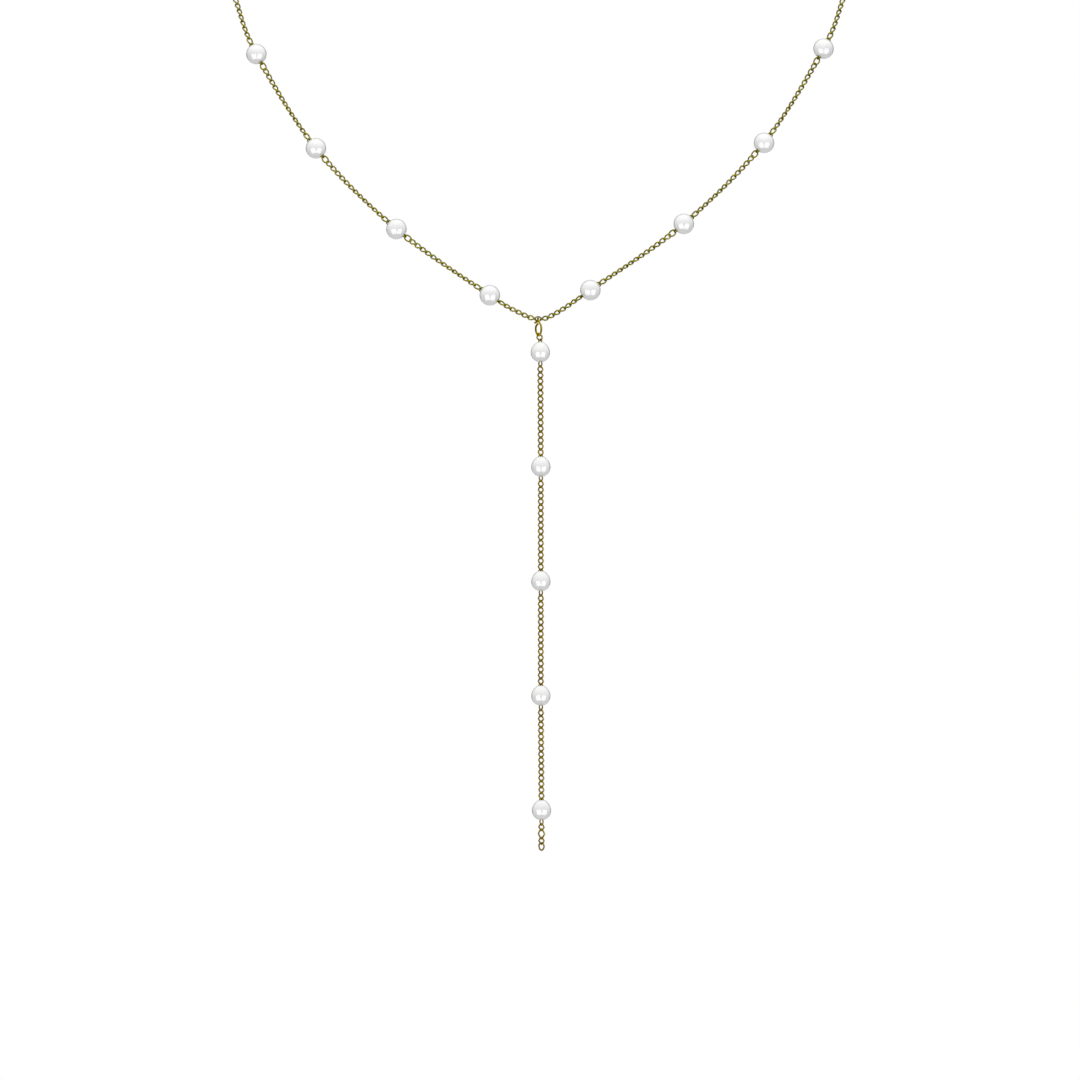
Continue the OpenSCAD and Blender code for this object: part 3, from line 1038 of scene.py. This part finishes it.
@dataclass
class PinShape:
    """A wire through a pearl, turned into an open eye at each end."""

    wire: float = 0.27
    eye_width: float = 0.88
    # Share by which the half oval narrows to its end, more than an oval does
    point: float = 0.3
    # The bend from the straight wire into an eye, in the eye's plane, from the eye's middle
    bend: tuple = ((0, -0.7), (0.0, -0.56), (0.03, -0.475), (0.1, -0.43))
    eye_start: float = -74
    eye_end: float = 228
    eye_steps: int = 16
    # Share of the line over which the section turns from one eye's axis to the other's
    turn_share: float = 0.125
    sides: int = 8

    def eye(self, reach: float, overlap: float, turn: float = 0, outer: float | None = None) -> Eye:
        """Place an eye so that it takes in the overlap with its link, round unless its length is given."""
        outer = self.eye_width / 2 if outer is None else outer
        return Eye(reach + overlap / 2 - outer, outer, turn)

    def eye_line(self, outer: float) -> Array:
        """Carry the wire's middle line round an upper eye, in the eye's plane.

        After the bend the line is (radius cos a (1 - point sin^2 a), outer sin a) where sin a is above 0, and
        the circle (radius cos a, radius sin a) where it is below.

        Args:
            outer: Length of the half oval.

        Returns:
            Places across and up from the eye's middle, one a row.
        """
        angle = np.radians(np.linspace(self.eye_start, self.eye_end, self.eye_steps))
        radius, rise = self.eye_width / 2, np.clip(np.sin(angle), 0, None)
        across = radius * np.cos(angle) * (1 - self.point * rise**2)
        up = np.where(rise > 0, outer, radius) * np.sin(angle)
        return np.concatenate([np.array(self.bend), np.stack([across, up], axis=1)])

    def surface(self, at: Array, low: Eye, high: Eye) -> Surface:
        """Carry the wire through one pearl.

        Args:
            at: Frame of the pearl, of shape (4, 3).
            low: The lower eye.
            high: The upper eye.

        Returns:
            The closed surface of the pin.
        """
        ends = []
        for sign, eye in ((-1, low), (1, high)):
            across, up = self.eye_line(eye.outer).T
            t = math.radians(eye.turn)
            x, y = -math.sin(t) * across, math.cos(t) * across
            ends.append(np.stack([x, y, sign * (eye.middle + up)], axis=1))
        line = np.concatenate([ends[0][::-1], ends[1]])
        # The section is carried on the line's own bend, so its across direction is the eyes' axis
        share = np.clip((np.linspace(0, 1, len(line)) - 0.5) / self.turn_share + 0.5, 0, 1)
        turn = np.radians(low.turn + (high.turn - low.turn) * share)
        axis = np.stack([np.cos(turn), np.sin(turn), 0 * turn], axis=1)
        made = open_wire(line, np.gradient(line, axis=0), axis, self.wire / 2, line[[0, -1]], self.sides)
        made.vertices = placed(at[None], made.vertices)
        return made


@dataclass
class NeckPins(Assembly):
    """The pins of both sides, with their eyes turned to the links they hold."""

    shape: PinShape = field(default_factory=PinShape)

    def surfaces(self) -> Iterator[tuple[str, str, Surface]]:
        """Give the pins of each side as one."""
        sizes = self.sizes
        last = sizes.side_pearls - 1
        for side in Side:
            twist, gap = side.value * sizes.eye_twist, sizes.gap_roll(side)
            # Turns of the eyes below and above each pearl
            below = np.array([sizes.middle_roll(side)[-1]] + [gap[-1]] * last) + twist
            above = np.array([gap[0]] * last + [sizes.end_roll(side)[0]]) - twist
            frames = self.loop.frames(side, sizes.pearl_s(side, np.arange(sizes.side_pearls)))
            parts = []
            for at, *turns in zip(frames, below, above):
                eyes = (self.shape.eye(sizes.seen_neck_reach, sizes.seen_overlap, turn) for turn in turns)
                parts.append(self.shape.surface(at, *eyes))
            node = f"neck_pins_{side.name.lower()}"
            yield f"{node}_wire", node, joined(parts)


@dataclass
class DropPins(Assembly):
    """The pins of the drop, with their eyes turned to the links they hold."""

    shape: PinShape = field(default_factory=PinShape)
    # Length of the half oval of the lower eyes, which stand out from the pearls
    low_eye: float = 0.76
    # Turn of the eyes from the roll of the link that they hold
    eye_twist: float = 54

    def surfaces(self) -> Iterator[tuple[str, str, Surface]]:
        """Give the pins as one."""
        sizes, parts = self.sizes, []
        turn = sizes.drop_roll + self.eye_twist
        low = self.shape.eye(sizes.seen_reach_down, sizes.seen_overlap, turn, self.low_eye)
        for k, at in enumerate(self.drop.frames(sizes.drop_pearl_z(np.arange(sizes.drop_pearls)))):
            turn = (sizes.drop_roll if k else sizes.connector_roll) - self.eye_twist
            high = self.shape.eye(sizes.drop_reach(k), sizes.seen_overlap, turn)
            parts.append(self.shape.surface(at, low, high))
        yield "drop_pins_wire", "drop_pins", joined(parts)


@dataclass
class PearlShape:
    """A pearl turned about its drilled axis, with a cone at each mouth of the hole."""

    diameter: float
    hole: float = 0.6
    # Radius, and height above the eye's middle, of the inner end of a mouth's cone, and its slope outwards
    mouth_in: tuple = (0.36, -0.66)
    mouth_slope: float = 0.8
    # Distance from the cone's inner radius at which the warmer tone of a mouth ends
    mouth_fade: float = 0.55
    # Reach of a rim's rounding to both sides, and how far its middle is sunk
    rim: float = 0.05
    rim_sink: float = 0.012
    # Polar angles, in degrees, between which a rim is looked for, and how many are tried
    rim_search: tuple = (3, 40, 2000)
    arc_steps: int = 26
    sides: int = 40
    # Share by which the top is drawn out to a soft point
    draw: float = 0

    def rim_angle(self, inner: float) -> float:
        """Find where the cone of a mouth meets the ball.

        On the cone the radius is mouth_in + slope (z - inner), and on the ball it is R sin p at R cos p.

        Args:
            inner: Height of the cone's inner end.

        Returns:
            The polar angle p of the rim.
        """
        angles = np.radians(np.linspace(*self.rim_search))
        ball = self.diameter / 2
        cone = self.mouth_in[0] + self.mouth_slope * (ball * np.cos(angles) - inner)
        return float(angles[np.argmin(np.abs(ball * np.sin(angles) - cone))])

    def profile(self, low: float, high: float) -> Array:
        """Outline of the pearl's half section: radius and height, once round, with its rims rounded off.

        Args:
            low: Distance from the pearl's middle down to the lower eye's.
            high: Distance from the pearl's middle up to the upper eye's.

        Returns:
            Points from the upper rim down the outside, in at the lower mouth and up the hole.
        """
        ball, hole = self.diameter / 2, self.hole / 2
        tops = [middle + self.mouth_in[1] for middle in (high, low)]
        rims = [self.rim_angle(top) for top in tops]
        polar = np.linspace(rims[0] + self.rim / ball, np.pi - rims[1] - self.rim / ball, self.arc_steps)
        outside = ball * np.stack([np.sin(polar), np.cos(polar)], axis=1)
        mouths = []
        for top, angle in zip(tops, rims):
            edge = ball * np.array([math.sin(angle), math.cos(angle)])
            slant = np.array([self.mouth_in[0], top])
            inward = edge + self.rim * unit(slant - edge)
            mouths.append(np.array([(edge + inward) / 2 - [0, self.rim_sink], inward, slant, [hole, top]]))
        return np.concatenate([outside, mouths[1] * [1, -1], mouths[0][::-1]])

    def surface(self, at: Array, low: float, high: float) -> Surface:
        """Turn the outline about the pearl's axis.

        A point of the outline at radius r and height z becomes (r cos a, r sin a, z) at each angle a. Above
        the middle z is first drawn out to z (1 + draw (z / R)^2).

        Args:
            at: Frame of the pearl, of shape (4, 3).
            low: Distance from the pearl's middle down to the lower eye's.
            high: Distance from the pearl's middle up to the upper eye's.

        Returns:
            The closed surface, with the measure "mouth": 1 in the mouths, and falling to 0 over mouth_fade.
        """
        radius, height = self.profile(low, high).T[:, :, None]
        height = height * (1 + self.draw * np.clip(height / (self.diameter / 2), 0, None) ** 2)
        angle = 2 * np.pi * np.arange(self.sides) / self.sides
        points = np.stack([radius * np.cos(angle), radius * np.sin(angle), height + 0 * angle], axis=-1)
        mouth = np.clip(1 - (radius - self.mouth_in[0]) / self.mouth_fade, 0, 1) ** 2
        faces = ring_quads(len(radius), self.sides, wrap=True)[:, ::-1]
        return Surface(
            placed(at[None], points).reshape(-1, 3), faces, np.repeat(mouth, self.sides), measure="mouth",
        )


@dataclass
class Pearls(Assembly):
    """The pearls of both sides and of the drop."""

    neck_shape: PearlShape = field(default_factory=lambda: PearlShape(4.1))
    drop_shape: PearlShape = field(default_factory=lambda: PearlShape(3.86, draw=0.15))
    pin: PinShape = field(default_factory=PinShape)

    def surfaces(self) -> Iterator[tuple[str, str, Surface]]:
        """Give every pearl by itself, counted from the junction and from the top."""
        sizes = self.sizes
        middle, low, high = (
            self.pin.eye(reach, sizes.link_overlap).middle
            for reach in (sizes.neck_reach, sizes.drop_reach_down, sizes.drop_reach_up)
        )
        strands = []
        for side in Side:
            frames = self.loop.frames(side, sizes.pearl_s(side, np.arange(sizes.side_pearls)))
            strands.append((side.name.lower(), frames, self.neck_shape, middle, middle))
        frames = self.drop.frames(sizes.drop_pearl_z(np.arange(sizes.drop_pearls)))
        strands.append(("drop", frames, self.drop_shape, low, high))
        for strand, frames, shape, *reaches in strands:
            for k, at in enumerate(frames, 1):
                node = f"{strand}_pearl_{k}"
                yield f"{node}_ball", node, shape.surface(at, *reaches)


@dataclass
class Bail(Assembly):
    """The open ring with lapped ends, which hangs on the junction's link and carries the drop."""

    route: tuple = (
        (-1, 0.7, -0.95), (-0.62, 0.84, -0.74), (-0.43, 0.58, -0.34), (-0.4, 0.14, -0.13),
        (-0.39, -0.3, -0.3), (-0.17, -0.54, -0.8), (0.16, -0.5, -1.4), (0.27, -0.46, -2.1),
        (0.2, -0.42, -2.8), (0, -0.28, -3.3), (-0.24, 0, -3.49), (-0.5, 0.32, -3.32),
        (-0.77, 0.5, -2.75), (-0.84, 0.52, -2.1), (-0.76, 0.54, -1.6), (-0.44, 0.6, -1.2),
    )
    # Direction that the ring faces
    facing: tuple = (0.65, 0.76, 0)
    # A little more than the solid's 0.32, as in the photo
    wire: float = 0.42
    # How rubbed the lowest part is, and how far up the rubbing reaches
    rub: float = 0.8
    rub_reach: float = 0.35
    steps: int = 4
    sides: int = 10

    def surfaces(self) -> Iterator[tuple[str, str, Surface]]:
        """Give the ring, rubbed by rub exp(-((z - lowest z) / rub_reach)^2)."""
        line = smooth_curve(np.array(self.route, dtype=float), self.steps, closed=False)
        made = round_ended_wire(line, self.wire / 2, unit(np.array(self.facing)), self.sides)
        made.values = self.rub * np.exp(-((made.vertices[:, 2] - line[:, 2].min()) / self.rub_reach) ** 2)
        yield "bail_ring_wire", "bail_ring", made


@dataclass
class Clasp(Assembly):
    """The ring clasp with its eye, and the plain ring that it closes on."""

    middle: tuple = (0, 100, 90)
    stations: int = 56
    sides: int = 20

    def surfaces(self) -> Iterator[tuple[str, str, Surface]]:
        """Give the clasp and the plain ring."""
        sizes = self.sizes
        x, y, z = np.eye(3)
        middle = np.array(self.middle, dtype=float)
        coarse = (self.stations // 2, self.sides // 2)
        ring = torus(middle, y, sizes.clasp_radius, sizes.clasp_wire, self.stations, self.sides)
        eye = torus(middle + sizes.clasp_eye_x * x, y, sizes.clasp_eye_radius, sizes.tag_wire, *coarse)
        tag = torus(middle + sizes.tag_x * x, z, sizes.tag_radius, sizes.tag_wire, *coarse)
        yield "clasp_ring_body", "clasp", joined([ring, eye])
        yield "clasp_plain_ring", "clasp_ring", tag


# The studio


@dataclass(frozen=True)
class SoftLight:
    """An area light that the camera doesn't see."""

    name: str
    # Direction from the necklace: degrees to the right of the camera, and above the horizon
    azimuth: float
    elevation: float
    distance: float
    width: float
    height: float
    power: float
    in_reflections: bool = True
    # The pieces whose gloss it is there for; it then lights nothing else
    gloss_of: Gloss | None = None

    def build(self, target: Array) -> None:
        """Place the light and turn it to the target.

        Args:
            target: The point that it faces, in metres.
        """
        a, e = math.radians(self.azimuth), math.radians(self.elevation)
        way = np.array([math.sin(a) * math.cos(e), -math.cos(a) * math.cos(e), math.sin(e)])
        lamp = bpy.data.lights.new(self.name, "AREA")
        lamp.shape = "RECTANGLE"
        lamp.size, lamp.size_y = self.width, self.height
        lamp.energy = self.power
        thing = stand(self.name, lamp)
        thing.location = target + self.distance * way
        thing.rotation_mode = "QUATERNION"
        thing.rotation_quaternion = Vector(-way).to_track_quat("-Z", "Y")
        thing.visible_camera = False
        thing.visible_glossy = self.in_reflections
        thing.visible_diffuse = self.gloss_of is None


@dataclass
class Studio:
    """Pale floor, white surroundings, soft lights and the camera."""

    # Width of the picture at the junction's depth
    frame_width: float = 216
    camera_distance: float = 5000
    # Height of the picture's middle above the junction
    picture_z: float = -44.4
    sensor: float = 36
    # The floor and the end of the camera's sight, in metres
    floor_z: float = -1.0
    floor_size: float = 8
    sight: float = 100
    lights: tuple = (
        SoftLight("key light", 0, 60, 1.6, 1.4, 1.0, 20, in_reflections=False),
        SoftLight("left window", -34, -24, 0.9, 0.92, 1.05, 6, gloss_of=Gloss.PEARLS),
        SoftLight("right window", 40, -24, 0.9, 0.92, 1.05, 6, gloss_of=Gloss.PEARLS),
        SoftLight("right strip", 48, 36, 1.0, 1.0, 1.6, 10, gloss_of=Gloss.GOLD),
        SoftLight("left strip", -48, 36, 1.0, 1.0, 1.6, 9, gloss_of=Gloss.LOOP_GOLD),
    )
    # Brightness of the surroundings: to the camera, to matt surfaces, and in reflections in front and beside
    seen: float = 1.0
    matt: float = 0.6
    glossy_front: float = 0.05
    glossy_side: float = 0.75
    # Share of the side's brightness that is left straight behind, which draws the outlines
    glossy_behind: float = 0.06
    # The y of a direction over which front turns to side, and over which side turns to straight behind
    side_span: tuple = (-0.7, 0.6)
    behind_span: tuple = (0.35, 0.7)

    def camera(self) -> None:
        """Make the camera: level, square on the front, and as far away as camera_distance."""
        lens = bpy.data.cameras.new("photo camera")
        lens.sensor_width = self.sensor
        lens.lens = self.sensor * self.camera_distance / self.frame_width
        lens.clip_end = self.sight
        camera = stand("photo camera", lens)
        camera.location = (np.array([0, -self.camera_distance, self.picture_z]) - NAPE) * MM
        camera.rotation_euler = (math.pi / 2, 0, 0)
        bpy.context.scene.camera = camera

    def floor(self, effects: Effects) -> None:
        """Make the floor: a plain square far below the drop.

        Args:
            effects: The shared groups.
        """
        half = self.floor_size / 2
        mesh = bpy.data.meshes.new("floor")
        corners = [(x * half, y * half, self.floor_z) for x, y in ((-1, -1), (1, -1), (1, 1), (-1, 1))]
        mesh.from_pydata(corners, [], [(0, 1, 2, 3)])
        mesh.materials.append(FloorFinish().material(effects))
        thing = stand("floor", mesh)

    def surroundings(self) -> None:
        """Make the world: white to the camera, in reflections a tent, dim in front and straight behind."""
        world = bpy.data.worlds.new("white surroundings")
        bpy.context.scene.world = world
        world.use_nodes = True
        sheet = NodeSheet(world.node_tree)
        ray = sheet.add("ShaderNodeLightPath").outputs
        coordinates = sheet.add("ShaderNodeTexCoord").outputs["Generated"]
        y = sheet.add("ShaderNodeSeparateXYZ", {"Vector": coordinates}).outputs["Y"]
        shares = {
            0: sheet.span(y, self.side_span, (self.glossy_front, self.glossy_side)),
            1: sheet.span(y, self.behind_span, (1, self.glossy_behind)),
        }
        tent = sheet.add("ShaderNodeMath", shares, operation="MULTIPLY").outputs["Value"]
        lit = sheet.add("ShaderNodeMix", {"Factor": ray["Is Glossy Ray"], "A": self.matt, "B": tent})
        seen = sheet.add("ShaderNodeMix", {
            "Factor": ray["Is Camera Ray"], "A": lit.outputs["Result"], "B": self.seen,
        })
        light = world.node_tree.nodes["Background"]
        sheet.fill(light, {"Color": (1, 1, 1, 1), "Strength": seen.outputs["Result"]})

    def keep_gloss(self, gloss: Gloss, pieces: list[Object]) -> None:
        """Keep the lights that are there for the gloss of some pieces to them.

        Args:
            gloss: The kind of pieces.
            pieces: The pieces.
        """
        lit = bpy.data.collections.new(f"lit {gloss.value}")
        for piece in pieces:
            lit.objects.link(piece)
        for light in self.lights:
            if light.gloss_of is gloss:
                bpy.data.objects[light.name].light_linking.receiver_collection = lit

    def build(self, effects: Effects) -> None:
        """Make all of the studio.

        Args:
            effects: The shared groups.
        """
        self.camera()
        self.floor(effects)
        self.surroundings()
        target = (np.array([0, 0, self.picture_z]) - NAPE) * MM
        for light in self.lights:
            light.build(target)
        bpy.context.scene.view_settings.view_transform = "Standard"
        log.info("studio: %d soft lights", len(self.lights))


def main() -> None:
    logging.basicConfig(level=logging.INFO, format="%(name)s: %(message)s")
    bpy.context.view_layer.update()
    effects = Effects(cloud_group(), scratch_group())
    studio = Studio()
    studio.build(effects)
    # One gold in three copies, whose tones are darkened by painted shade: most on the loop, which a second
    # strip light reaches, less on the drop, least on the bail
    neck_gold_painted_shade, drop_gold_painted_shade, ring_gold_painted_shade = (finish.material(effects) for finish in (
        GoldFinish("olive gold plate", (0.29, 0.255, 0.002), (0.175, 0.15, 0.001), (0.38, 0.33, 0.02)),
        GoldFinish("brown gold plate", (0.43, 0.31, 0.003), (0.27, 0.185, 0.002), (0.49, 0.37, 0.02)),
        GoldFinish("warm gold plate", (0.62, 0.44, 0.006), (0.43, 0.29, 0.003), (0.68, 0.52, 0.04)),
    ))
    plan = (NecklaceSizes(), LoopRoute(), DropRoute())

    def golden(finish: Material, *parts: type[Assembly]) -> list[Object]:
        """Make the pieces of some gold sub-assemblies."""
        return [piece for part in parts for piece in part(*plan).build(finish, Slot.GOLD)]

    loop_pieces = golden(neck_gold_painted_shade, NeckChain, NeckPins, Clasp)
    drop_pieces = golden(drop_gold_painted_shade, DropChain, DropPins) + golden(ring_gold_painted_shade, Bail)
    pearls = Pearls(*plan).build(PearlFinish().material(effects), Slot.PEARL)
    studio.keep_gloss(Gloss.LOOP_GOLD, loop_pieces)
    studio.keep_gloss(Gloss.GOLD, loop_pieces + drop_pieces)
    studio.keep_gloss(Gloss.PEARLS, pearls)


if __name__ == "__main__":
    main()
